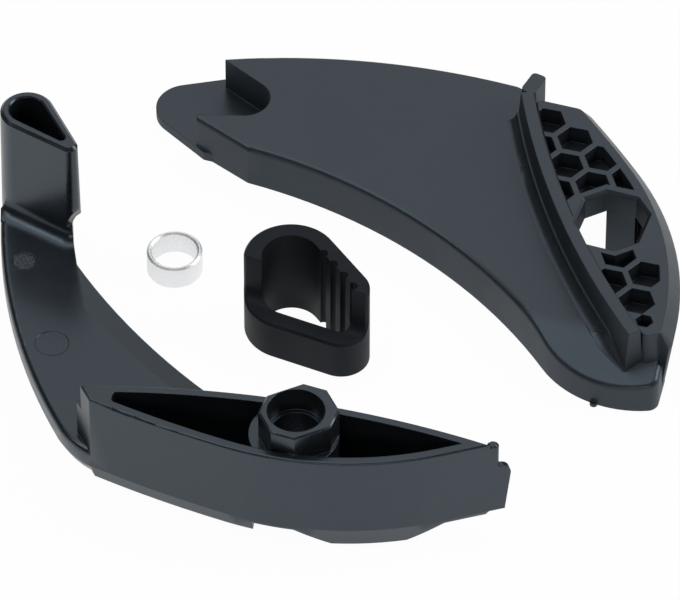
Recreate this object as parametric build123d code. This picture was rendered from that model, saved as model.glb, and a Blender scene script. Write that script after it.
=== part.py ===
from build123d import *
import os
from math import acos, asin, atan2, cos, degrees, hypot, radians, sin, tan

os.makedirs("parts", exist_ok=True)

# Lower chain guide, taken apart and laid out on a table: two moulded guide halves, a rubber sleeve and
# a collar. Sizes are in millimetres. Both halves are drawn in one plan frame: origin on the clamp axis,
# x along the lens from the arm's end to the tip, y towards the post. The inner half is the mirror image,
# so its y is turned over.

# Collar and the bore that it seats in
COLLAR_DIAMETER = 10.0
COLLAR_BORE = 8.2
COLLAR_HEIGHT = 5.0
COLLAR_CHAMFER = 0.35
COLLAR_CLEARANCE = 0.1
BOLT_HOLE = 8.4

# Eight-sided boss and its socket
BOSS_FLATS = 13.0
BOSS_KEY_FLATS = 11.5
BOSS_TURN = 11.2
BOSS_KEY_SIDE = 123.7
BOSS_RISE = 4.0
BOSS_HEIGHT = 5.9
BOSS_STEM_RADIUS = 7.9
BOSS_STEM_OFFSET = 0.9
BOSS_EDGE = 0.3
BORE_OFFSET = 0.5
SOCKET_CLEARANCE = 0.15
SOCKET_DEPTH = 5.0
SOCKET_UNDERCUT = 0.4
SOCKET_TAB_SIDE = 213.0
SOCKET_TAB_THICKNESS = 3.0
SOCKET_LIP = 0.6
SOCKET_WALL = 1.8

# Lens outline that both halves share
LENS_END_FRONT = (-37.0, 0.3)
LENS_END_REAR = (-39.2, 3.5)
LENS_FLANK = (-12.0, -6.8)
LENS_BELLY = (3.0, -8.1)
LENS_SHOULDER = (25.1, -2.63)
LENS_TIP = (33.3, 1.27)
LENS_BACK = (-10.0, 6.3)

# Convex edge that the arm and the inner plate share
SPINE_FOOT = (-43.9, 5.8)
SPINE_MIDDLE = (-56.6, 29.5)
SPINE_HEAD = (-64.0, 56.0)

# Post and the rubber sleeve over it
POST_CENTRE = (-59.4, 60.2)
POST_TURN = -39.4
POST_RADIUS = 4.8
POST_NOSE = 1.5
POST_SPAN = 11.7
POST_WALL = 1.7
POST_HEIGHT = 22.4
POST_DRAFT = 0.8
POST_FLARE = 3.0
POST_CORE_FLOOR = 3.0
POST_RIM_BEVEL = 0.6
POST_RIM_CHAMFER = 0.3
NOSE_BITE = 1.6
NOSE_BITE_HEIGHT = 7.0
POST_CORE_NOSE = 0.6
POST_CORE_SPAN = 9.5
SLEEVE_CLEARANCE = 0.4
SLEEVE_WALL = 3.2
SLEEVE_HIGH = 18.5
SLEEVE_LOW = 9.0
SLEEVE_CUT = 5.3
SLEEVE_CUT_ROUND = 2.5
SLEEVE_EDGE = 0.45
SLEEVE_BASE_EDGE = 0.9
GROOVE_RADIUS = 0.85
GROOVE_PITCH = 3.2
GROOVE_COUNT = 4
GROOVE_START = 2.5

# Outer guide
PAD_THICKNESS = 2.0
ARM_TOP = 8.0
ARM_LIP = 1.1
ARM_CORNER = (-40.6, 2.4)
ARM_NECK = (-48.4, 46.4)
ARM_WAIST = (-34.0, 30.6)
ARM_FLOW = (-19.2, 18.6)
ARM_ROOT = (8.0, 4.0)
ARM_BEVEL_WIDTH = 4.6
ARM_BEVEL_DROP = 1.3
BOAT_HEIGHT = 19.5
BOAT_WALL = 1.6
BOAT_RIM_ROUND = 0.5
BOAT_FLOOR = 3.0
BOAT_END_BLOCK = 6.0
CAVITY_CORNER = 0.8
END_TAB_LENGTH = 1.9
END_TAB_THICKNESS = 1.5
END_TAB_DROP = 5.9
SKIRT_HEIGHT = 4.5
SKIRT_INSET = 1.1
ARM_SKIRT_HEIGHT = 2.5
ARM_SKIRT_INSET = 1.2
TIP_NOSE = 1.05
TIP_NOSE_AT = (33.6, 2.3)
TIP_NOSE_DROP = 0.8
EAR_LENGTH = 4.05
EAR_WIDTH = 1.1
EAR_TOP = 15.5
EAR_TOP_ROUND = 2.0
EAR_LEAN = 1.2
PAD_RADIUS = 9.6
PAD_SPREAD = 5.2
PAD_CENTRE = (11.6, 1.6)
FOOT_LIFT = 1.5
FOOT_END = -7.0
GAP_LIFT = 3.7
MARK_SMALL = 4.2
MARK_SMALL_AT = (-57.4, 44.3)
MARK_LARGE = 6.0
MARK_LARGE_AT = (-48.7, 25.2)
MARK_DEPTH = 0.15

# Inner plate
PLATE_THICKNESS = 9.0
PLATE_EDGE = 1.2
PLATE_CORNER = 2.2
PLATE_NEAR = (32.9, 3.6)
PLATE_CHEEK = (33.5, 0.8)
PLATE_HEEL = (27.0, -2.6)
PLATE_FAR = (-38.4, 2.4)
PLATE_WALL = 2.4
PLATE_FLOOR = 1.7
BAY_FAR = -27.0
BAY_NEAR = 24.0
CORE_FAR = -46.0
CORE_NEAR = 14.0
DROOP_START = 21.6
DROOP_TURN = 35.0
DROOP_SLOPE = 22.0
DROOP_ROUND = 12.0
S_EDGE_NEAR = (18.5, 17.65)
S_EDGE_MIDDLE = (-9.5, 28.84)
S_EDGE_FAR = (-39.9, 56.8)
PRONG_TIP = (-49.9, 63.9)
PLATE_HEAD_CUT = 1.4
PAD_RISE = 6.0
PAD_NEAR_END = 29.1
PAD_FAR_END = (-29.8, -0.3)
PAD_FAR_BACK = (-33.0, 4.8)
PAD_FAR_ROUND = 1.5
PAD_BACK_ROUND = 0.8
PAD_NOSE = 1.3
RIM_NEAR_END = (28.5, -0.4)
RIM_END_TURN = 55.0
RIM_CHAMFER_WIDTH = 2.2
RIM_CHAMFER_DROP = 3.0
UNDERCUT_INSET = 1.5
RIDGE_CLEARANCE = 0.4
RIDGE_THICKNESS = 2.3
RIDGE_RISE = 1.0
RIDGE_SINK = 4.0
RIDGE_FAR_END = -34.2
RIDGE_FOOT_ROUND = 2.0
HOOK_LENGTH = 5.0
HOOK_THICKNESS = 2.8
HOOK_TURN = 224.0
RIDGE_NEAR_END = 28.8
RIDGE_NOSE = 0.8
RIDGE_SWELL = 0.7
TONGUE_THICKNESS = 1.9
TONGUE_SHOULDER = (-47.7, 63.1)
TONGUE_STEP = (-46.0, 60.5)
TONGUE_CORNER = (-66.4, 73.1)
TONGUE_HEEL = (-65.1, 54.0)
TONGUE_ROUND = 5.8
NOTCH_APEX = (-52.7, 54.1)
NOTCH_ANGLE = 41.0
NOTCH_TURN = 127.2
NOTCH_SQUEEZE = 0.4
CELL_PITCH = 6.8
CELL_RIB = 1.1
CELL_DEPTH = 3.6
CELL_BORDER = 1.6
CELL_ROWS = 6
CELL_LEAST = 4.0
CELL_LAST = 24.0
TIP_CELL = 2.8
TIP_CELL_AT = (25.5, 1.2)
FAR_CELL = (-21.2, 0.6)
NEAR_CELL = (14.6, -2.3)
SOLID_CELLS = ((-27.1, -2.8), (8.7, -5.7))
GATE_NIB = 0.7
GATE_NIB_AT = (29.2, 11.2)

# Where each piece lies on the table: x, y and turn
OUTER_PLACE = (-7.1, -51.2, -9.5)
INNER_PLACE = (48.3, 5.4, -75.3)
SLEEVE_PLACE = (-8.7, -7.1, -40.5)
COLLAR_PLACE = (-29.7, 7.7, 0.0)

BOAT_TOP = PAD_THICKNESS + BOAT_HEIGHT
BOSS_TOP = BOAT_TOP + BOSS_RISE
POST_TOP = ARM_TOP + POST_HEIGHT
PAD_TOP = PLATE_THICKNESS + PAD_RISE
BORE_RADIUS = (COLLAR_DIAMETER + COLLAR_CLEARANCE) / 2
SLEEVE_GROWTH = SLEEVE_CLEARANCE + SLEEVE_WALL
FAR = 200.0
OVERLAP = 1.0


def on_circle(centre, radius, angle):
    return (centre[0] + radius * cos(radians(angle)), centre[1] + radius * sin(radians(angle)))


def flipped(point, side):
    return (point[0], point[1] * side)


def circle_through(a, b, c):
    """Centre and radius of the circle through three points."""
    d = 2 * (a[0] * (b[1] - c[1]) + b[0] * (c[1] - a[1]) + c[0] * (a[1] - b[1]))
    qa, qb, qc = (p[0] ** 2 + p[1] ** 2 for p in (a, b, c))
    x = (qa * (b[1] - c[1]) + qb * (c[1] - a[1]) + qc * (a[1] - b[1])) / d
    y = (qa * (c[0] - b[0]) + qb * (a[0] - c[0]) + qc * (b[0] - a[0])) / d
    return (x, y), hypot(a[0] - x, a[1] - y)


def teardrop(big, small, span):
    """Outline round a large and a small circle on the x axis."""
    lean = asin((big - small) / span)
    start = (big * sin(lean), big * cos(lean))
    stop = (span + small * sin(lean), small * cos(lean))
    back = ThreePointArc(start, (-big, 0), (start[0], -start[1]))
    lower = Line((start[0], -start[1]), (stop[0], -stop[1]))
    nose = ThreePointArc((stop[0], -stop[1]), (span + small, 0), stop)
    upper = Line(stop, start)
    return make_face([back, lower, nose, upper])


def lens(side):
    """Plan outline of the pocket: a front of two arcs and a straight tip, one rear arc and a flat end."""
    belly = ThreePointArc(flipped(LENS_FLANK, side), flipped(LENS_BELLY, side), flipped(LENS_SHOULDER, side))
    flank = TangentArc(flipped(LENS_FLANK, side), flipped(LENS_END_FRONT, side), tangent=-(belly % 0))
    tip = Line(flipped(LENS_SHOULDER, side), flipped(LENS_TIP, side))
    back = ThreePointArc(flipped(LENS_TIP, side), flipped(LENS_BACK, side), flipped(LENS_END_REAR, side))
    end = Line(flipped(LENS_END_REAR, side), flipped(LENS_END_FRONT, side))
    return make_face([belly, flank, tip, back, end])


def octagon(grow, side):
    """Eight-sided outline with one pair of sides cut closer as a key."""
    regular = Rot(0, 0, side * BOSS_TURN) * RegularPolygon(BOSS_FLATS / 2 + grow, 8, major_radius=False)
    key = Rot(0, 0, side * BOSS_KEY_SIDE) * Rectangle(BOSS_KEY_FLATS + 2 * grow, FAR)
    return regular & key


def spine(side):
    return ThreePointArc(flipped(SPINE_FOOT, side), flipped(SPINE_MIDDLE, side), flipped(SPINE_HEAD, side))


def rising(face, low, high):
    return extrude(Pos(0, 0, low) * face, high - low, dir=(0, 0, 1))


def tapered(face, height, inset):
    """Prism upwards from a plan outline that draws in by inset on the way."""
    solid = extrude(face, height, taper=degrees(atan2(inset, height)))
    if solid.bounding_box().max.Z > height / 2:
        return solid
    return Rot(180, 0, 0) * mirror(solid, about=Plane.XZ)


def placed(shape, place):
    return Pos(place[0], place[1], 0) * Rot(0, 0, place[2]) * shape


def lies_over(edge, curves):
    """Whether the middle of an edge lies over one of the given plan curves."""
    middle = Vertex((edge @ 0.5).X, (edge @ 0.5).Y, 0)
    return any(curve.distance_to(middle) < 0.05 for curve in curves)


def top_edges(shape, height, *curves):
    """Edges at one height that lie over one of the given plan curves."""
    level = [e for e in shape.edges() if all(abs((e @ t).Z - height) < 0.01 for t in (0, 0.5))]
    return [e for e in level if lies_over(e, curves)]


def make_outer_guide():
    # Arm: a curved flat bar from the pocket to the post; soft outer edge, wide bevel along the inner one
    nose = on_circle(POST_CENTRE, POST_SPAN, POST_TURN)
    corner = ThreePointArc(LENS_END_FRONT, ARM_CORNER, SPINE_FOOT)
    back = spine(1)
    head = [Line(SPINE_HEAD, POST_CENTRE), Line(POST_CENTRE, nose), Line(nose, ARM_NECK)]
    waist = ThreePointArc(ARM_NECK, ARM_WAIST, ARM_FLOW)
    root = TangentArc(ARM_FLOW, ARM_ROOT, tangent=waist % 1)
    outline = make_face([corner, back, *head, waist, root, Line(ARM_ROOT, LENS_END_FRONT)])
    arm = rising(outline, PAD_THICKNESS, ARM_TOP)
    arm = fillet(top_edges(arm, ARM_TOP, back, corner), ARM_LIP)
    base = arm.faces().filter_by(Plane.XY).sort_by(Axis.Z)[0]
    lower = top_edges(arm, PAD_THICKNESS, back, corner)
    arm = chamfer(lower, ARM_SKIRT_INSET, ARM_SKIRT_HEIGHT, reference=base)
    top = arm.faces().filter_by(Plane.XY).sort_by(Axis.Z)[-1]
    arm = chamfer(top_edges(arm, ARM_TOP, waist, root), ARM_BEVEL_WIDTH, ARM_BEVEL_DROP, reference=top)

    # Post: a drafted teardrop column that flares into the arm; its nose hangs over the arm's edge
    post_place = (*POST_CENTRE, POST_TURN)
    swell = POST_HEIGHT * tan(radians(POST_DRAFT))
    foot = placed(teardrop(POST_RADIUS + swell, POST_NOSE + swell, POST_SPAN), post_place)
    column = extrude(Pos(0, 0, ARM_TOP) * foot, POST_HEIGHT, taper=POST_DRAFT)
    column = chamfer(column.faces().sort_by(Axis.Z)[-1].edges(), POST_RIM_BEVEL)
    apron = Pos(POST_CENTRE[0], POST_CENTRE[1], ARM_TOP - POST_FLARE) * Box(FAR, FAR, 2 * POST_FLARE)
    flared = apron + column
    flared = fillet(top_edges(flared, ARM_TOP, *foot.edges()), POST_FLARE)
    flare = flared & rising(outline, ARM_TOP, ARM_TOP + POST_FLARE)
    bite_radius = (NOSE_BITE ** 2 + NOSE_BITE_HEIGHT ** 2) / (2 * NOSE_BITE)
    bite_reach = POST_SPAN + POST_NOSE + swell - NOSE_BITE
    bite = Pos(bite_reach + bite_radius, 0, ARM_TOP) * Rot(90, 0, 0) * Cylinder(bite_radius, FAR)
    column = column - placed(bite, post_place)
    heel = foot & placed(Pos(bite_reach - FAR / 2, 0) * Rectangle(FAR, FAR), post_place)
    post = column + rising(heel, PAD_THICKNESS, ARM_TOP)
    core_radius = POST_RADIUS - POST_WALL
    core = teardrop(core_radius, POST_CORE_NOSE, POST_CORE_SPAN)
    wide = teardrop(core_radius + POST_RIM_CHAMFER, POST_CORE_NOSE + POST_RIM_CHAMFER, POST_CORE_SPAN)
    mouth = mirror(tapered(wide, POST_RIM_CHAMFER, POST_RIM_CHAMFER), about=Plane.XY)
    hollow = rising(core, ARM_TOP + POST_CORE_FLOOR, POST_TOP) + Pos(0, 0, POST_TOP) * mouth
    hollow = placed(hollow, post_place)
    stand = rising(placed(Circle(core_radius), post_place), 0, PAD_THICKNESS)

    # Pocket: the lens pulled up as a wall on a skirt that runs in, with a rounded tip and an ear beyond it
    plan = lens(1)
    hull = rising(plan, SKIRT_HEIGHT, BOAT_TOP)
    hull = fillet(hull.edges().filter_by_position(Axis.Z, BOAT_TOP, BOAT_TOP), BOAT_RIM_ROUND)
    tip = rising(Pos(*TIP_NOSE_AT) * Circle(TIP_NOSE), SKIRT_HEIGHT, BOAT_TOP - TIP_NOSE_DROP)
    tip = chamfer(tip.faces().sort_by(Axis.Z)[-1].edges(), BOAT_RIM_ROUND)
    tip_turn = degrees(atan2(LENS_TIP[1] - LENS_SHOULDER[1], LENS_TIP[0] - LENS_SHOULDER[0]))
    ear_end = [(EAR_LENGTH - EAR_LEAN, SKIRT_HEIGHT), (EAR_LENGTH, EAR_TOP)]
    ear_side = Polygon((-EAR_LENGTH, SKIRT_HEIGHT), *ear_end, (-EAR_LENGTH, EAR_TOP), align=None)
    ear_side = fillet(ear_side.vertices().sort_by_distance((*ear_end[1], 0))[0], EAR_TOP_ROUND)
    ear = extrude(Plane.XZ * ear_side, EAR_WIDTH, dir=(0, 1, 0))
    ear = placed(ear, (*LENS_TIP, tip_turn))

    # Feet: the skirt reaches the table at a round pad, stops short at the arm's side and higher in between
    skirt = extrude(plan, SKIRT_HEIGHT, taper=degrees(atan2(SKIRT_INSET, SKIRT_HEIGHT)))
    skirt = Pos(0, 0, SKIRT_HEIGHT) * mirror(skirt, about=Plane.XY)
    pad = Pos(*PAD_CENTRE, GAP_LIFT / 2) * Cone(PAD_RADIUS, PAD_RADIUS + PAD_SPREAD, GAP_LIFT)
    foot_block = Pos(FOOT_END - FAR / 2, 0, FOOT_LIFT + FAR / 2) * Box(FAR, FAR, FAR)
    gap_block = Pos(0, 0, GAP_LIFT + FAR / 2) * Box(FAR, FAR, FAR)
    skirt = skirt & (pad + foot_block + gap_block)
    end_turn = degrees(atan2(LENS_END_REAR[1] - LENS_END_FRONT[1], LENS_END_REAR[0] - LENS_END_FRONT[0]))
    end_tab = Rectangle(END_TAB_LENGTH + OVERLAP, END_TAB_THICKNESS)
    end_tab = Pos((END_TAB_LENGTH - OVERLAP) / 2, -END_TAB_THICKNESS / 2) * end_tab
    end_tab = rising(placed(end_tab, (*LENS_END_REAR, end_turn)), PAD_THICKNESS, BOAT_TOP - END_TAB_DROP)
    past_block = Pos(LENS_END_REAR[0] + BOAT_END_BLOCK + FAR / 2, 0) * Rectangle(FAR, FAR)
    inside = offset(plan, -BOAT_WALL) & past_block
    inside = fillet(inside.vertices().group_by(Axis.X)[0], CAVITY_CORNER)
    cavity = rising(inside, PAD_THICKNESS + BOAT_FLOOR, BOAT_TOP)

    # Boss: a round stem inside the pocket, an eight-sided head above it, and a bore stepped for the collar
    bore_at = Pos(-BORE_OFFSET, 0)
    stem = plan & Pos(-BOSS_STEM_OFFSET, 0) * Circle(BOSS_STEM_RADIUS)
    stem = rising(stem, PAD_THICKNESS + BOAT_FLOOR, BOSS_TOP - BOSS_HEIGHT)
    boss = rising(octagon(0, 1), BOSS_TOP - BOSS_HEIGHT, BOSS_TOP)
    boss = chamfer(boss.faces().sort_by(Axis.Z)[-1].edges(), BOSS_EDGE)
    seat = rising(bore_at * Circle(BORE_RADIUS), BOSS_TOP - COLLAR_HEIGHT, BOSS_TOP)
    through = rising(bore_at * Circle(BOLT_HOLE / 2), 0, BOSS_TOP)

    # Flats left by ejector pins on the arm
    marks = [Pos(*MARK_SMALL_AT) * Circle(MARK_SMALL / 2), Pos(*MARK_LARGE_AT) * Circle(MARK_LARGE / 2)]
    marks = [rising(mark, ARM_TOP - MARK_DEPTH, ARM_TOP) for mark in marks]

    guide = arm + hull + tip + skirt + end_tab + ear - cavity + stem + boss
    guide = guide + post + flare + stand - hollow - seat - through
    return guide - marks


def make_inner_plate():
    side = -1
    near, cheek, heel = (flipped(p, side) for p in (PLATE_NEAR, PLATE_CHEEK, PLATE_HEEL))

    # Plate: shares the arm's convex edge; its other long edge is a hollow arc that rounds off at the near end
    spine_length = spine(side).length
    back = spine(side).trim(0, 1 - PLATE_HEAD_CUT / spine_length)
    sweep = ThreePointArc(flipped(S_EDGE_FAR, side), flipped(S_EDGE_MIDDLE, side), flipped(S_EDGE_NEAR, side))
    shoulder = TangentArc(flipped(S_EDGE_NEAR, side), near, tangent=sweep % 1)
    prong = Line(flipped(PRONG_TIP, side), flipped(S_EDGE_FAR, side))
    mouth = Line(back @ 1, flipped(PRONG_TIP, side))
    inside = Polyline(heel, *[flipped(p, side) for p in (LENS_BACK, PAD_FAR_BACK, PLATE_FAR, SPINE_FOOT)])
    outline = make_face([back, mouth, prong, sweep, shoulder, Line(near, cheek), Line(cheek, heel), inside])
    outline = fillet(outline.vertices().sort_by_distance((*cheek, 0))[0], PLATE_CORNER)
    plate = rising(outline, 0, PLATE_THICKNESS)

    # The near end droops: a slope cut off its top, blended in with a large round, then a soft edge all round
    slope = Rot(0, DROOP_SLOPE, 0) * Pos(FAR / 2, 0, FAR / 2) * Box(FAR, FAR, FAR)
    slope = Rot(0, 0, side * DROOP_TURN) * Pos(DROOP_START, 0, PLATE_THICKNESS) * slope
    plate = plate - slope
    crease = Rot(0, 0, side * DROOP_TURN) * Line((DROOP_START, -FAR), (DROOP_START, FAR))
    plate = fillet(top_edges(plate, PLATE_THICKNESS, crease), DROOP_ROUND)
    upper = [e for e in plate.edges() if (e @ 0.5).Z > PLATE_THICKNESS / 2 and abs((e % 0.5).Z) < 0.9]
    border = [back, prong, sweep, shoulder, Line(near, cheek)]
    soft = [e for e in upper if lies_over(e, border)]
    plate = fillet(soft, PLATE_EDGE)

    # Mouth for the sleeve's nose, and the thin tongue that closes it underneath
    apex = flipped(NOTCH_APEX, side)
    mouth_radius = POST_NOSE + SLEEVE_GROWTH - NOTCH_SQUEEZE
    low, high = (-NOTCH_TURN + half for half in (-NOTCH_ANGLE / 2, NOTCH_ANGLE / 2))
    start, stop = on_circle(apex, mouth_radius, low - 90), on_circle(apex, mouth_radius, high + 90)
    wedge = Polygon(start, on_circle(start, FAR, low), on_circle(stop, FAR, high), stop, align=None)
    notch = wedge + Pos(*apex) * Circle(mouth_radius)
    plate = plate - rising(notch, TONGUE_THICKNESS, PLATE_THICKNESS)
    tongue_points = (TONGUE_STEP, TONGUE_SHOULDER, TONGUE_CORNER, TONGUE_HEEL, SPINE_MIDDLE)
    tongue = Polygon(*[flipped(p, side) for p in tongue_points], align=None)
    corner = tongue.vertices().sort_by_distance((*flipped(TONGUE_CORNER, side), 0))[0]
    tongue = rising(fillet(corner, TONGUE_ROUND), 0, TONGUE_THICKNESS)

    # Pad that the pocket's rim sits on, with a sloping rim, undercut below; the pad's near tip stands free
    far_turn = degrees(atan2(PAD_FAR_BACK[1] - PAD_FAR_END[1], PAD_FAR_BACK[0] - PAD_FAR_END[0]))
    far_place = (*flipped(PAD_FAR_END, side), side * far_turn)
    far_cut = placed(Pos(0, side * FAR / 2) * Rectangle(FAR, FAR), far_place)
    near_cut = Pos(PAD_NEAR_END + FAR / 2, 0) * Rectangle(FAR, FAR)
    pad_plan = lens(side) - far_cut - near_cut
    pad_plan = fillet(pad_plan.vertices().group_by(Axis.X)[-1], PAD_NOSE)
    far_corner = pad_plan.vertices().sort_by_distance((*flipped(PAD_FAR_END, side), 0))[0]
    pad_plan = fillet(far_corner, PAD_FAR_ROUND)
    back_corner = pad_plan.vertices().sort_by_distance((*flipped(PAD_FAR_BACK, side), 0))[0]
    pad_plan = fillet(back_corner, PAD_BACK_ROUND)
    rim_plan = offset(pad_plan, RIM_CHAMFER_WIDTH)
    rim_low = PAD_TOP - RIM_CHAMFER_DROP
    rim = Pos(0, 0, rim_low) * tapered(rim_plan, RIM_CHAMFER_DROP, RIM_CHAMFER_WIDTH)
    rim = rim + Pos(0, 0, rim_low) * mirror(tapered(rim_plan, rim_low, UNDERCUT_INSET), about=Plane.XY)
    rim_place = (*flipped(RIM_NEAR_END, side), side * RIM_END_TURN)
    rim_end = placed(Pos(FAR / 2, 0) * Rectangle(FAR, FAR), rim_place)
    rim = rim - rising(rim_end, 0, PAD_TOP) + rising(pad_plan, 0, PAD_TOP)

    # Ridge behind the pocket's rear wall, with a hollow round along its foot and a hook at its far end
    centre, radius = circle_through(*[flipped(p, side) for p in (LENS_TIP, LENS_BACK, LENS_END_REAR)])
    inner = radius + RIDGE_CLEARANCE
    outer = inner + RIDGE_THICKNESS
    root = outer + RIDGE_SWELL
    top = PAD_RISE + RIDGE_RISE
    section = [(inner - RIDGE_SWELL, -RIDGE_SINK), (root, -RIDGE_SINK), (outer, top), (inner, top)]
    section = Polygon(*section, align=None)
    hollow = on_circle((root + RIDGE_FOOT_ROUND, RIDGE_FOOT_ROUND), RIDGE_FOOT_ROUND, 225)
    foot_arc = ThreePointArc((root + RIDGE_FOOT_ROUND, 0), hollow, (root, RIDGE_FOOT_ROUND))
    behind = [(root - OVERLAP, RIDGE_FOOT_ROUND), (root - OVERLAP, -OVERLAP), foot_arc @ 0 - (0, OVERLAP)]
    foot = make_face([foot_arc, Polyline(foot_arc @ 1, *behind, foot_arc @ 0)])
    middle = (inner + outer) / 2
    far_angle = side * degrees(acos((RIDGE_FAR_END - centre[0]) / middle))
    near_angle = side * degrees(acos((RIDGE_NEAR_END - centre[0]) / middle))
    ridge_place = Pos(*centre, PLATE_THICKNESS) * Rot(0, 0, far_angle)
    band = ridge_place * revolve(Plane.XZ * section, Axis.Z, near_angle - far_angle)
    foot = ridge_place * revolve(Plane.XZ * foot, Axis.Z, near_angle - far_angle)
    foot = (foot & rising(outline, 0, PLATE_THICKNESS + RIDGE_FOOT_ROUND)) - slope
    bend = on_circle(centre, middle, far_angle)
    hook = Pos(HOOK_LENGTH / 2, 0) * Rectangle(HOOK_LENGTH, HOOK_THICKNESS)
    hook = placed(fillet(hook.vertices(), RIDGE_NOSE), (*bend, side * HOOK_TURN))
    hook = rising(hook, PLATE_THICKNESS, PLATE_THICKNESS + top)
    plate = plate + tongue + rim + foot + band + hook

    # Honeycomb pockets on both sides of the socket
    field = pad_plan & Pos(0, side * CELL_BORDER) * pad_plan
    field = field - octagon(SOCKET_WALL, side)
    cell = RegularPolygon((CELL_PITCH - CELL_RIB) / 2, 6, major_radius=False)
    pockets = []
    for seed, facing in ((FAR_CELL, -1), (NEAR_CELL, 1)):
        for row in range(-CELL_ROWS, CELL_ROWS + 1):
            for column in range(-CELL_ROWS, CELL_ROWS + 1):
                x = seed[0] + row * CELL_PITCH * cos(radians(30))
                y = side * seed[1] + (column + (row % 2) / 2) * CELL_PITCH
                pocket = Pos(x, y) * cell & field
                solid = any(hypot(x - b[0], y - side * b[1]) < CELL_PITCH / 2 for b in SOLID_CELLS)
                inside = 0 < x * facing and x < CELL_LAST
                if pocket and inside and pocket.area > CELL_LEAST and not solid:
                    pockets.append(rising(pocket, PAD_TOP - CELL_DEPTH, PAD_TOP))
    tip_cell = Pos(*flipped(TIP_CELL_AT, side)) * RegularPolygon(TIP_CELL / 2, 6, major_radius=False)
    pockets.append(rising(tip_cell, PAD_TOP - CELL_DEPTH, PAD_TOP))
    plate = plate - pockets

    # Socket for the boss, open below except behind one side, which runs down as a tab
    socket = rising(octagon(SOCKET_CLEARANCE, side), PAD_TOP - SOCKET_DEPTH, PAD_TOP + RIDGE_RISE)
    lip = tapered(octagon(SOCKET_CLEARANCE + SOCKET_LIP, side), SOCKET_LIP, SOCKET_LIP)
    lip = Pos(0, 0, PAD_TOP) * mirror(lip, about=Plane.XY)
    relief = rising(octagon(SOCKET_UNDERCUT, side), 0, PAD_TOP - SOCKET_DEPTH)
    facet = BOSS_FLATS / 2 + SOCKET_CLEARANCE
    tab = Rectangle(SOCKET_TAB_THICKNESS, BOSS_FLATS * tan(radians(22.5)))
    tab = Rot(0, 0, side * SOCKET_TAB_SIDE) * Pos(facet + SOCKET_TAB_THICKNESS / 2, 0) * tab
    tab = rising(tab, 0, PAD_TOP)

    # Cored out underneath so that the walls stay even: one bay under the pad and one under the plate
    bay = offset(rim_plan, -UNDERCUT_INSET - PLATE_FLOOR)
    bay = bay & Pos((BAY_FAR + BAY_NEAR) / 2, 0) * Rectangle(BAY_NEAR - BAY_FAR, FAR)
    bay = rising(bay, 0, PAD_TOP - CELL_DEPTH - PLATE_FLOOR)
    core = offset(outline, -PLATE_WALL)
    core = core & Pos((CORE_FAR + CORE_NEAR) / 2, 0) * Rectangle(CORE_NEAR - CORE_FAR, FAR)
    core = core - offset(notch, PLATE_WALL) - rim_plan - octagon(SOCKET_UNDERCUT + PLATE_WALL, side)
    core = rising(core, 0, PLATE_THICKNESS - PLATE_FLOOR)
    nib = rising(Pos(*flipped(GATE_NIB_AT, side)) * Circle(GATE_NIB), 0, GATE_NIB)
    return plate - socket - lip - (relief + bay - tab) - core + nib


def make_chain_sleeve():
    # Teardrop tube with grooves down the inside of one slanted wall
    inner = POST_RADIUS + SLEEVE_CLEARANCE
    lean = degrees(asin((POST_RADIUS - POST_NOSE) / POST_SPAN))
    hole = teardrop(inner, POST_NOSE + SLEEVE_CLEARANCE, POST_SPAN)
    for count in range(GROOVE_COUNT):
        along = GROOVE_START + count * GROOVE_PITCH
        hole = hole + Rot(0, 0, -lean) * Pos(along, inner) * Circle(GROOVE_RADIUS)
    wall = teardrop(POST_RADIUS + SLEEVE_GROWTH, POST_NOSE + SLEEVE_GROWTH, POST_SPAN)
    tube = rising(wall, 0, SLEEVE_HIGH)
    tube = chamfer(tube.edges().filter_by_position(Axis.Z, SLEEVE_HIGH, SLEEVE_HIGH), SLEEVE_EDGE)
    tube = chamfer(tube.edges().filter_by_position(Axis.Z, 0, 0), SLEEVE_BASE_EDGE)

    # The side opposite the grooves is cut down to a low wall, with a hollow round where the cut ends
    step = POST_RADIUS + SLEEVE_GROWTH - SLEEVE_CUT
    cut = Pos(0, -step - FAR / 2, SLEEVE_LOW + FAR / 2) * Box(FAR, FAR, FAR)
    cut = fillet(cut.edges().filter_by(Axis.X).group_by(Axis.Z)[0].sort_by(Axis.Y)[-1], SLEEVE_CUT_ROUND)
    tube = tube - Rot(0, 0, lean) * cut
    tube = chamfer(top_edges(tube, SLEEVE_LOW, *wall.edges()), SLEEVE_EDGE)
    return tube - rising(hole, 0, SLEEVE_HIGH)


def make_collar_ring():
    ring = Cylinder(COLLAR_DIAMETER / 2, COLLAR_HEIGHT, align=(Align.CENTER, Align.CENTER, Align.MIN))
    ring = ring - Cylinder(COLLAR_BORE / 2, COLLAR_HEIGHT, align=(Align.CENTER, Align.CENTER, Align.MIN))
    return chamfer(ring.edges().filter_by(GeomType.CIRCLE), COLLAR_CHAMFER)


guide = placed(make_outer_guide(), OUTER_PLACE)
plate = placed(make_inner_plate(), INNER_PLACE)
sleeve = placed(make_chain_sleeve(), SLEEVE_PLACE)
ring = placed(make_collar_ring(), COLLAR_PLACE)

# The row's origin is the middle of its box, on the table
boxes = [piece.bounding_box() for piece in (guide, plate, sleeve, ring)]
middle_x = (min(b.min.X for b in boxes) + max(b.max.X for b in boxes)) / 2
middle_y = (min(b.min.Y for b in boxes) + max(b.max.Y for b in boxes)) / 2
centred = Pos(-middle_x, -middle_y, 0)

export_step(centred * guide, "parts/outer_guide.step")
export_step(centred * plate, "parts/inner_plate.step")
export_step(centred * sleeve, "parts/chain_sleeve.step")
export_step(centred * ring, "parts/collar_ring.step")
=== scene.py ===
import math

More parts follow.
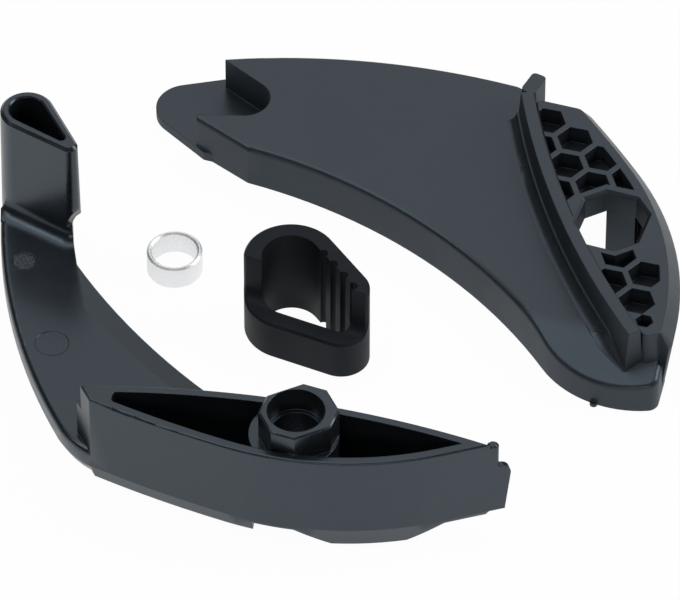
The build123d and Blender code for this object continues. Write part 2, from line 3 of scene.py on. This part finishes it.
import bmesh
import bpy
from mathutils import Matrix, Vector


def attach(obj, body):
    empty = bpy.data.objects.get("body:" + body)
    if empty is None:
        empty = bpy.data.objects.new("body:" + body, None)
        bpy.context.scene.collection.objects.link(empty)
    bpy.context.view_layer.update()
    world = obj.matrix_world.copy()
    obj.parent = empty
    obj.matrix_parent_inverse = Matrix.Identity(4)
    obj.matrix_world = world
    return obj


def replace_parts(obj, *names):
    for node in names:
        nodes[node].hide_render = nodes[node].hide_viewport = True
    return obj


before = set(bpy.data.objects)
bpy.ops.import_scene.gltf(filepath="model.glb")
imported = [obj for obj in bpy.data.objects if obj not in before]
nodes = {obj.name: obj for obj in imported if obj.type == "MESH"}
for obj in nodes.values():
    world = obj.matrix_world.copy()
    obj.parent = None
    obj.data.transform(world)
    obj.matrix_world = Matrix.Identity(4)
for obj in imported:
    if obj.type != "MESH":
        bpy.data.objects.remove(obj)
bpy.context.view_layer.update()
scene = bpy.context.scene
scene.view_settings.view_transform = "Standard"

# The camera of the photograph: a long lens 46 degrees above the table
IMAGE_WIDTH = 680
SENSOR_WIDTH = 36
FOCAL_PIXELS = 8000
CAMERA_DISTANCE = 1.434
CAMERA_ELEVATION = math.radians(46)
CLIP_START, CLIP_END = 0.05, 20
LAYOUT_CENTRE = Vector((0.000294, 0.002722, 0))

# Sheen of the black plastic and rubber, a little blue as the photograph shows it
PLASTIC_SHEEN = (0.66, 0.83, 1.0, 1)
RUBBER_SHEEN = (0.72, 0.84, 1.0, 1)

# Plastic: the two tones of each moulding, its edges paled by wear and painted highlight, and the
# pale grit of the ejector mark
GUIDE_BLACK, GUIDE_LIGHT = (0.009, 0.0105, 0.0125, 1), (0.013, 0.015, 0.0175, 1)
PLATE_BLACK, PLATE_LIGHT = (0.010, 0.0115, 0.0135, 1), (0.015, 0.017, 0.0195, 1)
EDGE_WEAR_AND_HIGHLIGHT = (0.032, 0.036, 0.042, 1)
SCUFFED = (0.11, 0.12, 0.13, 1)

# Rubber: its two tones and its worn edges
RUBBER_BLACK, RUBBER_LIGHT = (0.005, 0.0058, 0.0075, 1), (0.010, 0.0115, 0.014, 1)
RUBBER_WORN = (0.03, 0.032, 0.036, 1)

# Aluminium: the dark and the light of its lathe lines
METAL_DARK, METAL_LIGHT = (0.89, 0.9, 0.91, 1), (0.97, 0.975, 0.98, 1)

# The small ejector mark on the arm, which its pin leaves rough: centre, radius and soft edge
EJECTOR_AT, EJECTOR_RADIUS, EJECTOR_EDGE = (-0.05611, 0.00469, 0.008), 0.0021, 0.0002

# Plastic: shares of cloud and flow lines in its tone, turn and stretch of the flow lines, and what
# the fine grain adds to its roughness
CLOUD_SHARE, FLOW_SHARE = 0.6, 0.4
FLOW_TURN, FLOW_STRETCH = (0, 0, 0.7), (1, 5, 1)
GRAIN_ROUGH = 0.05

# Rubber: how far its edges are worn. Aluminium: the stretch of the noise that draws its lathe lines
RUBBER_WEAR = 0.4
LATHE_STRETCH = (60, 60, 5200)

# How far sharp edges are rounded off in the shading, how finely that is sampled, and the cosines
# between the rounded and the true normal where a place counts as edge and as face
PLASTIC_EDGE, RUBBER_EDGE, METAL_EDGE = 0.28e-3, 0.3e-3, 0.07e-3
EDGE_SAMPLES = 6
EDGE_COSINE, FACE_COSINE = 0.84, 0.99

# Vertices closer than this are one; faces that bend less than this are one
WELD_DISTANCE = 2e-6
FLAT_ANGLE = math.radians(0.3)

# Edges that bend more than this stay sharp; between two broad faces the lower limit holds
SHARP_ANGLE = math.radians(32)
CREASE_ANGLE = math.radians(13)
BROAD_FACE = 2.5e-6

# The nose at the pocket's tip, and the plane of the front wall and ear that it comes flush with
TIP_NOSE, TIP_REACH = Vector((0.0267, -0.05176)), 1.2e-3
FRONT_WALL, FRONT_WALL_LEVEL = Vector((0.2749, -0.9615, 0)).normalized(), 0.057902

# The far corner of the heel under the post's nose, and how far it is cut back along the post:
# all the way up to one height, and less and less from there to the next
HEEL_CORNER, HEEL_REACH = Vector((-0.0462, 0.0127)), 0.35e-3
HEEL_FULL, HEEL_NONE = 0.0101, 0.0125
HEEL_CUT, POST_SIDE = 3.45e-3, Vector((-0.42, 0.907, 0))

# The plate's top falls away at its near end: level, then a round, then a slope whose height over
# a place is DROOP_SLOPE . place + DROOP_OFFSET
PLATE_LEVEL = 0.009
DROOP_SLOPE, DROOP_OFFSET = Vector((0.1369, 0.3764)), 0.007953
DROOP_ROUND = 0.012

# The hollow round at the ridge's foot: the circle of its outer edge, and the part that is added
RIDGE_CENTRE, FOOT_EDGE_RADIUS = Vector((0.20773, 0.05830)), 0.17837
FOOT_START, FOOT_END = math.radians(-156.75), math.radians(-153.1)

# Its section: size of the round, depth of its hidden faces in the plate and ridge, how far it lies
# under the ledge so that no two faces coincide, and how far the wall runs in along its length
FOOT_ROUND, FOOT_BURIED, FOOT_SUNK, FOOT_DRAFT = 2e-3, 0.8e-3, 0.04e-3, 0.12e-3

# The share of its length that keeps its width, how much of the width then tapers off and by which
# power, and the counts of sections along it and of steps round its hollow
FOOT_LEVEL_SHARE, FOOT_TAPER, FOOT_TAPER_POWER = 0.4, 0.85, 1.2
FOOT_STATIONS, FOOT_STEPS = 20, 8

# Table: size, how far it lies under the pieces, and its share of glow for each kind of ray
FLOOR_SIZE, FLOOR_DROP = 3.0, 0.2e-3
FLOOR_GREY, WHITE = (0.92, 0.92, 0.92, 1), (1, 1, 1, 1)
CAMERA_GLOW, MIRROR_GLOW = 0.97, 0.8

# Room: its dim level, and the two panels (azimuth, elevation, inner and outer angle, level)
ROOM_LEVEL = 0.07
BACK_PANEL = (4, 48, 20, 36, 0.92)
TOP_PANEL = (-60, 80, 16, 34, 1.5)


def place_camera():
    data = bpy.data.cameras.new("camera")
    data.sensor_width = SENSOR_WIDTH
    data.lens = FOCAL_PIXELS / IMAGE_WIDTH * SENSOR_WIDTH
    data.clip_start, data.clip_end = CLIP_START, CLIP_END
    camera = bpy.data.objects.new("camera", data)
    scene.collection.objects.link(camera)
    back = Vector((0, -math.cos(CAMERA_ELEVATION), math.sin(CAMERA_ELEVATION)))
    camera.location = LAYOUT_CENTRE + back * CAMERA_DISTANCE
    camera.rotation_euler = (math.pi / 2 - CAMERA_ELEVATION, 0, 0)
    scene.camera = camera


class Graph:
    """A node tree that is being filled, with short ways to add and join nodes."""

    def __init__(self, tree):
        self.tree = tree
        tree.nodes.clear()

    def add(self, kind, inputs=(), **settings):
        node = self.tree.nodes.new(kind)
        for name, value in settings.items():
            setattr(node, name, value)
        for key, value in dict(inputs).items():
            if isinstance(value, bpy.types.NodeSocket):
                self.tree.links.new(value, node.inputs[key])
            else:
                node.inputs[key].default_value = value
        return node

    def math(self, operation, *values):
        inputs = dict(enumerate(values))
        return self.add("ShaderNodeMath", inputs, operation=operation).outputs[0]

    def dot(self, one, two):
        node = self.add("ShaderNodeVectorMath", {0: one, 1: two}, operation="DOT_PRODUCT")
        return node.outputs["Value"]

    def noise(self, vector, scale, detail, roughness):
        inputs = {"Vector": vector, "Scale": scale, "Detail": detail, "Roughness": roughness}
        return self.add("ShaderNodeTexNoise", inputs).outputs["Fac"]

    def span(self, value, low, high, to_low, to_high):
        """The value, moved from one range to another."""
        ends = {"From Min": low, "From Max": high, "To Min": to_low, "To Max": to_high}
        return self.add("ShaderNodeMapRange", {"Value": value, **ends}).outputs[0]

    def blend(self, value, dark, light):
        inputs = {0: value, 6: dark, 7: light}
        return self.add("ShaderNodeMix", inputs, data_type="RGBA").outputs[2]

    def bump(self, height, strength, distance, normal):
        inputs = {"Height": height, "Strength": strength, "Distance": distance, "Normal": normal}
        return self.add("ShaderNodeBump", inputs).outputs[0]

    def stretched(self, place, **settings):
        """The place with its axes scaled, to draw a noise out along one of them."""
        inputs = {"Vector": place, **settings}
        return self.add("ShaderNodeMapping", inputs).outputs[0]

    def near(self, place, spot, radius, edge):
        """1 inside a ball round the spot, 0 outside it, with a soft edge."""
        node = self.add("ShaderNodeVectorMath", {0: place, 1: spot}, operation="DISTANCE")
        return self.span(node.outputs["Value"], radius - edge, radius, 1, 0)

    def true_normal(self):
        return self.add("ShaderNodeNewGeometry").outputs["Normal"]

    def soft_normal(self, radius):
        """The normal with sharp edges rounded off."""
        return self.add("ShaderNodeBevel", {"Radius": radius}, samples=EDGE_SAMPLES).outputs[0]

    def edge_mask(self, soft):
        """1 on edges, where the rounded normal leaves the true one, and 0 elsewhere."""
        return self.span(self.dot(soft, self.true_normal()), EDGE_COSINE, FACE_COSINE, 1, 0)

    def principled(self, inputs):
        shader = self.add("ShaderNodeBsdfPrincipled", inputs)
        self.add("ShaderNodeOutputMaterial", {"Surface": shader.outputs[0]})


def new_material(name):
    material = bpy.data.materials.new(name)
    material.use_nodes = True
    return material, Graph(material.node_tree)


def moulded_plastic(name, dark, light, gloss, side_rough, grain, ejector=False):
    """Black moulding: cloudy gloss, fine spark-eroded grain, faint flow lines, edges paled partly
    by wear and partly as painted highlight.

    gloss is the lowest and highest roughness, side_rough is added to it on upright faces, and grain
    is the strength of the fine bumps.
    """
    material, g = new_material(name)
    place = g.add("ShaderNodeTexCoord").outputs["Object"]
    drawn = g.stretched(place, Rotation=FLOW_TURN, Scale=FLOW_STRETCH)
    cloud = g.noise(place, scale=70, detail=3, roughness=0.55)
    flow = g.noise(drawn, scale=120, detail=4, roughness=0.6)
    fine = g.noise(place, scale=5200, detail=2, roughness=0.6)
    wear_and_highlight_patches = g.span(g.noise(place, scale=900, detail=3, roughness=0.7), 0.4, 0.65, 0.25, 1)
    clouds, flows = g.math("MULTIPLY", cloud, CLOUD_SHARE), g.math("MULTIPLY", flow, FLOW_SHARE)
    tone = g.math("ADD", clouds, flows)

    soft = g.soft_normal(PLASTIC_EDGE)
    colour = g.blend(g.span(tone, 0.38, 0.62, 0, 1), dark, light)
    # Paler colour on edges in patches: partly edge wear, partly a painted highlight along the edges
    colour = g.blend(g.math("MULTIPLY", g.edge_mask(soft), wear_and_highlight_patches), colour, EDGE_WEAR_AND_HIGHLIGHT)
    rough = g.span(tone, 0.35, 0.65, *gloss)
    rough = g.math("ADD", rough, g.math("MULTIPLY", fine, GRAIN_ROUGH))
    rise = g.add("ShaderNodeSeparateXYZ", {0: g.true_normal()}).outputs["Z"]
    rough = g.math("ADD", rough, g.span(g.math("ABSOLUTE", rise), 0.2, 0.8, side_rough, 0))
    normal = g.bump(fine, strength=grain, distance=0.05e-3, normal=soft)
    if ejector:
        patch = g.near(place, EJECTOR_AT, EJECTOR_RADIUS, EJECTOR_EDGE)
        grit = g.noise(place, scale=3600, detail=3, roughness=0.75)
        raised = g.math("MULTIPLY", grit, patch)
        normal = g.bump(raised, strength=0.9, distance=0.25e-3, normal=normal)
        pale = g.math("MULTIPLY", patch, g.span(grit, 0.45, 0.65, 0, 1))
        colour = g.blend(pale, colour, SCUFFED)
    look = {"Base Color": colour, "Roughness": rough, "Normal": normal}
    g.principled({**look, "IOR": 1.5, "Specular IOR Level": 0.8, "Specular Tint": PLASTIC_SHEEN})
    return material


def rubber(name):
    """Matt black rubber with a dusty cloud and a soft pebbled skin."""
    material, g = new_material(name)
    place = g.add("ShaderNodeTexCoord").outputs["Object"]
    cloud = g.noise(place, scale=140, detail=3, roughness=0.6)
    fine = g.noise(place, scale=3800, detail=3, roughness=0.6)
    soft = g.soft_normal(RUBBER_EDGE)
    colour = g.blend(g.span(cloud, 0.3, 0.7, 0, 1), RUBBER_BLACK, RUBBER_LIGHT)
    colour = g.blend(g.math("MULTIPLY", g.edge_mask(soft), RUBBER_WEAR), colour, RUBBER_WORN)
    rough = g.span(cloud, 0.3, 0.7, 0.48, 0.6)
    normal = g.bump(fine, strength=0.25, distance=0.06e-3, normal=soft)
    look = {"Base Color": colour, "Roughness": rough, "Normal": normal}
    g.principled({**look, "Specular IOR Level": 0.24, "Specular Tint": RUBBER_SHEEN})
    return material


def turned_aluminium(name):
    """Bright aluminium with the fine rings that the lathe tool leaves."""
    material, g = new_material(name)
    place = g.add("ShaderNodeTexCoord").outputs["Object"]
    rings = g.stretched(place, Scale=LATHE_STRETCH)
    lines = g.noise(rings, scale=1.0, detail=2, roughness=0.5)
    colour = g.blend(lines, METAL_DARK, METAL_LIGHT)
    rough = g.span(lines, 0.3, 0.7, 0.42, 0.54)
    soft = g.soft_normal(METAL_EDGE)
    normal = g.bump(lines, strength=0.12, distance=0.04e-3, normal=soft)
    g.principled({"Base Color": colour, "Roughness": rough, "Normal": normal, "Metallic": 1.0})
    return material


def flush_tip(solid):
    """Cuts the rounded nose at the pocket's tip back to the plane of the front wall."""
    for vert in solid.verts:
        over = vert.co.dot(FRONT_WALL) - FRONT_WALL_LEVEL
        if over > 0 and (vert.co.xy - TIP_NOSE).length < TIP_REACH:
            vert.co -= over * FRONT_WALL


def cut_heel(solid):
    """Cuts the heel under the post's nose back, so that the nose overhangs the arm."""
    for vert in solid.verts:
        if vert.co.z < HEEL_NONE and (vert.co.xy - HEEL_CORNER).length < HEEL_REACH:
            share = min(1, (HEEL_NONE - vert.co.z) / (HEEL_NONE - HEEL_FULL))
            vert.co += share * HEEL_CUT * POST_SIDE


def dress(solid, name, material):
    """Makes a piece of a solid, with flat faces whole and rounds shaded smooth."""
    parts = {"verts": solid.verts[:], "edges": solid.edges[:]}
    bmesh.ops.dissolve_limit(solid, angle_limit=FLAT_ANGLE, **parts)
    between = [v for v in solid.verts if len(v.link_edges) == 2]
    spare = [v for v in between if all(len(f.verts) > 3 for f in v.link_faces)]
    bmesh.ops.dissolve_verts(solid, verts=spare)
    for face in solid.faces:
        face.smooth = True
    for edge in solid.edges:
        broad = min(face.calc_area() for face in edge.link_faces) > BROAD_FACE
        edge.smooth = edge.calc_face_angle(math.pi) < (CREASE_ANGLE if broad else SHARP_ANGLE)
    mesh = bpy.data.meshes.new(name)
    solid.to_mesh(mesh)
    solid.free()
    mesh.materials.append(material)
    piece = bpy.data.objects.new(name, mesh)
    scene.collection.objects.link(piece)
    even = piece.modifiers.new("even_shading", "WEIGHTED_NORMAL")
    even.keep_sharp = True
    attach(piece, "root")
    return piece


def skin(node, material, slot, *mends):
    """The solid of a CAD node as one welded skin, with the given mends made to it."""
    solid = bmesh.new()
    solid.from_mesh(nodes[node].data)
    bmesh.ops.remove_doubles(solid, verts=solid.verts[:], dist=WELD_DISTANCE)
    for mend in mends:
        mend(solid)
    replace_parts(dress(solid, node + "_skin", material), node)


def plate_height(place):
    """Height of the plate's top over a place on the table."""
    angle = math.atan(DROOP_SLOPE.length)
    reach = DROOP_ROUND * math.tan(angle / 2)
    along = (PLATE_LEVEL - DROOP_SLOPE.dot(place) - DROOP_OFFSET) / DROOP_SLOPE.length
    if along < -reach:
        return PLATE_LEVEL
    if along < reach * math.cos(angle):
        return PLATE_LEVEL - DROOP_ROUND + math.sqrt(DROOP_ROUND ** 2 - (along + reach) ** 2)
    return PLATE_LEVEL - along * DROOP_SLOPE.length


def foot_profile(out, share):
    """Section of the added foot, as pairs of radius and height, at a share of its length."""
    fade = max(0, share - FOOT_LEVEL_SHARE) / (1 - FOOT_LEVEL_SHARE)
    width = FOOT_ROUND * (1 - FOOT_TAPER * fade ** FOOT_TAPER_POWER)
    wall = FOOT_EDGE_RADIUS - FOOT_ROUND - FOOT_DRAFT * share
    edge = wall + width
    at_wall = plate_height(RIDGE_CENTRE + out * wall)
    at_edge = plate_height(RIDGE_CENTRE + out * edge)
    at_wall += (PLATE_LEVEL - at_wall) * (1 - fade) ** 2 - FOOT_SUNK
    profile = []
    for step in range(FOOT_STEPS + 1):
        bend = math.pi / 2 * step / FOOT_STEPS
        away = 1 - math.sin(bend)
        height = at_wall + (at_edge - at_wall) * away + width * (1 - math.cos(bend))
        profile.append((wall + width * away, height))
    behind = wall - FOOT_BURIED
    profile += [(behind, at_wall + width), (behind, at_wall - FOOT_BURIED)]
    return profile + [(edge, at_edge - FOOT_BURIED)]


def ridge_foot_end(material):
    """The hollow round at the ridge's foot, carried down the slope to a point at its near end."""
    solid = bmesh.new()
    rings = []
    for station in range(FOOT_STATIONS + 1):
        share = station / FOOT_STATIONS
        turn = FOOT_START + share * (FOOT_END - FOOT_START)
        out = Vector((math.cos(turn), math.sin(turn)))
        section = [(*(RIDGE_CENTRE + out * radius), z) for radius, z in foot_profile(out, share)]
        rings.append([solid.verts.new(corner) for corner in section])
    for one, two in zip(rings, rings[1:]):
        for index in range(len(one)):
            solid.faces.new((one[index - 1], one[index], two[index], two[index - 1]))
    solid.faces.new(rings[0])
    solid.faces.new(rings[-1])
    bmesh.ops.recalc_face_normals(solid, faces=solid.faces[:])
    dress(solid, "ridge_foot_end", material)


def lay_floor():
    """A pale table that is white to the camera and keeps a faint contact shadow."""
    half = FLOOR_SIZE / 2
    mesh = bpy.data.meshes.new("floor")
    corners = [(-half, -half, 0), (half, -half, 0), (half, half, 0), (-half, half, 0)]
    mesh.from_pydata(corners, [], [(0, 1, 2, 3)])
    floor = bpy.data.objects.new("floor", mesh)
    floor.location = (0, 0, -FLOOR_DROP)
    scene.collection.objects.link(floor)
    material, g = new_material("floor_white")
    ray = g.add("ShaderNodeLightPath").outputs
    mirrored = g.math("MAXIMUM", ray["Is Glossy Ray"], ray["Is Transmission Ray"])
    seen = g.math("MULTIPLY", ray["Is Camera Ray"], CAMERA_GLOW)
    share = g.math("MAXIMUM", seen, g.math("MULTIPLY", mirrored, MIRROR_GLOW))
    matt = g.add("ShaderNodeBsdfDiffuse", {"Color": FLOOR_GREY}).outputs[0]
    glow = g.add("ShaderNodeEmission", {"Color": WHITE, "Strength": 1.0}).outputs[0]
    mixed = g.add("ShaderNodeMixShader", {0: share, 1: matt, 2: glow})
    g.add("ShaderNodeOutputMaterial", {"Surface": mixed.outputs[0]})
    mesh.materials.append(material)


def light_room():
    """White to the camera; for everything else a dim room with two soft panels over the table."""
    world = bpy.data.worlds.new("studio")
    scene.world = world
    world.use_nodes = True
    g = Graph(world.node_tree)
    aim = g.add("ShaderNodeTexCoord").outputs["Generated"]

    def panel(azimuth, elevation, inner, outer, level):
        """A round panel: full level inside the inner angle, the room's outside the outer one."""
        turn, lift = math.radians(azimuth), math.radians(elevation)
        flat = math.cos(lift)
        axis = (math.sin(turn) * flat, math.cos(turn) * flat, math.sin(lift))
        low, high = math.cos(math.radians(outer)), math.cos(math.radians(inner))
        return g.span(g.dot(aim, axis), low, high, ROOM_LEVEL, level)

    panels = g.math("MAXIMUM", panel(*BACK_PANEL), panel(*TOP_PANEL))
    seen = g.add("ShaderNodeLightPath").outputs["Is Camera Ray"]
    strength = g.math("MAXIMUM", seen, panels)
    studio = g.add("ShaderNodeBackground", {"Color": WHITE, "Strength": strength})
    g.add("ShaderNodeOutputWorld", {"Surface": studio.outputs[0]})


def softbox(name, place, size, level):
    """A soft light aimed at the middle of the layout; level is its brightness seen from there."""
    data = bpy.data.lights.new(name, "AREA")
    data.shape = "RECTANGLE"
    data.size, data.size_y = size
    data.energy = level * size[0] * size[1] * math.pi
    light = bpy.data.objects.new(name, data)
    light.location = place
    light.rotation_euler = (LAYOUT_CENTRE - Vector(place)).to_track_quat("-Z", "Y").to_euler()
    scene.collection.objects.link(light)


place_camera()

guide = moulded_plastic("glossy_black", GUIDE_BLACK, GUIDE_LIGHT, gloss=(0.18, 0.26),
                        side_rough=0.04, grain=0.08, ejector=True)
plate = moulded_plastic("satin_black", PLATE_BLACK, PLATE_LIGHT, gloss=(0.26, 0.34),
                        side_rough=0.22, grain=0.14)
skin("outer_guide", guide, "guide_plastic", flush_tip, cut_heel)
skin("inner_plate", plate, "plate_plastic")
ridge_foot_end(plate)
skin("chain_sleeve", rubber("black_rubber"), "sleeve_rubber")
skin("collar_ring", turned_aluminium("turned_aluminium"), "collar_aluminium")

lay_floor()
light_room()
softbox("softbox_right", place=(1.05, 0.1, 0.75), size=(0.6, 0.8), level=5.0)
softbox("softbox_left", place=(-0.85, -0.1, 0.95), size=(0.3, 0.6), level=2.5)
softbox("softbox_front", place=(0.0, -1.25, 0.6), size=(1.0, 0.3), level=2.5)
